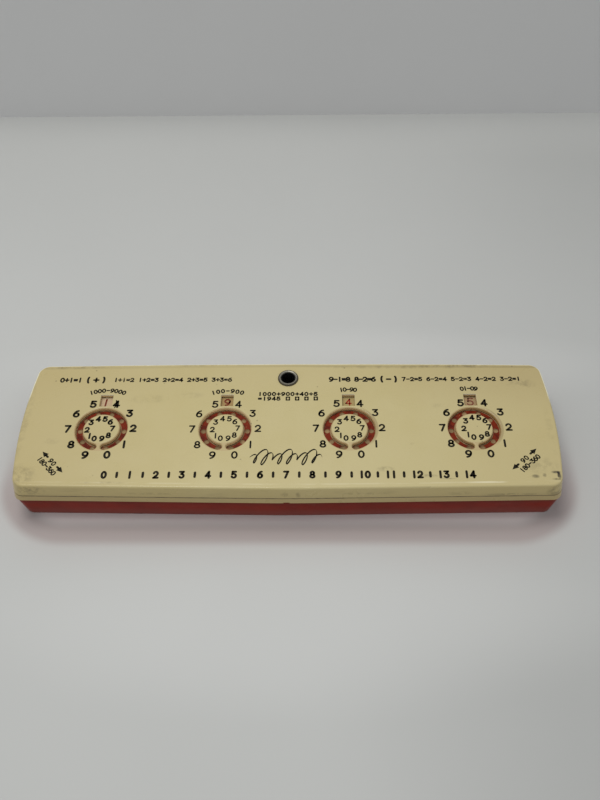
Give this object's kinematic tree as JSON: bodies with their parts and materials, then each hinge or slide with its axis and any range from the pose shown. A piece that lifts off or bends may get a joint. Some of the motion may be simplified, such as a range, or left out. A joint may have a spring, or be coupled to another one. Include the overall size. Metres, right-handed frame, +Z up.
{
  "type": "rotary dial adder pencil box",
  "caption": "Flat plastic pencil box with a swivelling lid that holds a row of finger-slot adding dials, each with a result window, turning on an eyelet at the rear.",
  "frame": {"origin": "middle of the tray's underside", "axes": "+X to the right along the length, +Y to the rear where the eyelet is, +Z up through the lid"},
  "size_m": [0.2158, 0.0645, 0.0209],
  "materials": {
    "cream_plastic": "aged gloss",
    "red_plastic": "aged gloss",
    "wheel_plastic": "satin",
    "gear_plastic": "matte",
    "spring_steel": "brushed",
    "eyelet_metal": "worn plated",
    "fibre": "matte"
  },
  "bodies": {
    "tray": {"tray": "red_plastic", "eyelet": "eyelet_metal", "eyelet_washer": "eyelet_metal", "pivot_washer": "fibre"},
    "lid": {"lid_shell": "cream_plastic", "lid_plate": "cream_plastic", "detent_spring_units": "spring_steel", "detent_spring_tens": "spring_steel", "detent_spring_hundreds": "spring_steel", "detent_spring_thousands": "spring_steel"},
    "wheel_units": {"number_wheel_units": "wheel_plastic", "carry_gear_units": "gear_plastic"},
    "wheel_tens": {"number_wheel_tens": "wheel_plastic", "carry_gear_tens": "gear_plastic"},
    "wheel_hundreds": {"number_wheel_hundreds": "wheel_plastic", "carry_gear_hundreds": "gear_plastic"},
    "wheel_thousands": {"number_wheel_thousands": "wheel_plastic", "carry_gear_thousands": "gear_plastic"},
    "pinion_tens": {"carry_pinion_tens": "gear_plastic"},
    "pinion_hundreds": {"carry_pinion_hundreds": "gear_plastic"},
    "pinion_thousands": {"carry_pinion_thousands": "gear_plastic"}
  },
  "joints": [
    {"name": "lid_swivel", "type": "hinge", "parent": "tray", "child": "lid", "pos_m": [0, 0.0228, 0], "axis": [0, 0, 1], "continuous": true},
    {"name": "dial_units", "type": "hinge", "parent": "lid", "child": "wheel_units", "pos_m": [0.07425, -0.003, 0.016], "axis": [0, 0, 1], "continuous": true, "deforming": ["detent_spring_units"]},
    {"name": "dial_tens", "type": "hinge", "parent": "lid", "child": "wheel_tens", "pos_m": [0.02475, -0.003, 0.016], "axis": [0, 0, 1], "continuous": true, "deforming": ["detent_spring_tens"]},
    {"name": "dial_hundreds", "type": "hinge", "parent": "lid", "child": "wheel_hundreds", "pos_m": [-0.02475, -0.003, 0.016], "axis": [0, 0, 1], "continuous": true, "deforming": ["detent_spring_hundreds"]},
    {"name": "dial_thousands", "type": "hinge", "parent": "lid", "child": "wheel_thousands", "pos_m": [-0.07425, -0.003, 0.016], "axis": [0, 0, 1], "continuous": true, "deforming": ["detent_spring_thousands"]},
    {"name": "carry_tens", "type": "hinge", "parent": "lid", "child": "pinion_tens", "pos_m": [0.0495, -0.003, 0.0145], "axis": [0, 0, 1], "continuous": true},
    {"name": "carry_hundreds", "type": "hinge", "parent": "lid", "child": "pinion_hundreds", "pos_m": [0, -0.003, 0.0145], "axis": [0, 0, 1], "continuous": true},
    {"name": "carry_thousands", "type": "hinge", "parent": "lid", "child": "pinion_thousands", "pos_m": [-0.0495, -0.003, 0.0145], "axis": [0, 0, 1], "continuous": true}
  ],
  "couplings": [
    {"joint": "carry_tens", "follows": "dial_tens", "ratio": -2.5},
    {"joint": "carry_hundreds", "follows": "dial_hundreds", "ratio": -2.5},
    {"joint": "carry_thousands", "follows": "dial_thousands", "ratio": -2.5}
  ]
}
